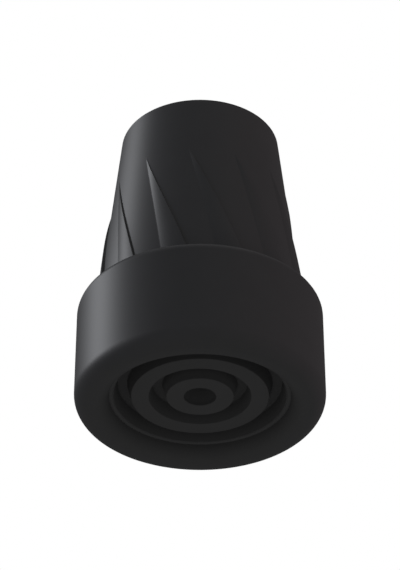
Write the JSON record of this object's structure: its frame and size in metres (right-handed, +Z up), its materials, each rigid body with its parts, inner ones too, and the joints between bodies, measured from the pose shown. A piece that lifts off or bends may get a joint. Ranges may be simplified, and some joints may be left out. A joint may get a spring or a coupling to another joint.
{
  "type": "rubber cane tip",
  "caption": "Black rubber tip pushed onto the foot of a walking cane: a ringed tread in a round bead, a drum-shaped foot, and a tapered sleeve with swirl ribs and a blind socket.",
  "frame": {"origin": "on the ground, in the middle of the tread, on the socket's axis", "axes": "+Z up along the shaft's axis, out of the socket's mouth; +X and +Y lie in the ground"},
  "size_m": [0.04, 0.04, 0.0531],
  "materials": {
    "rubber": "satin moulded rubber"
  },
  "bodies": {
    "root": {"cane_tip": "rubber"}
  },
  "joints": []
}
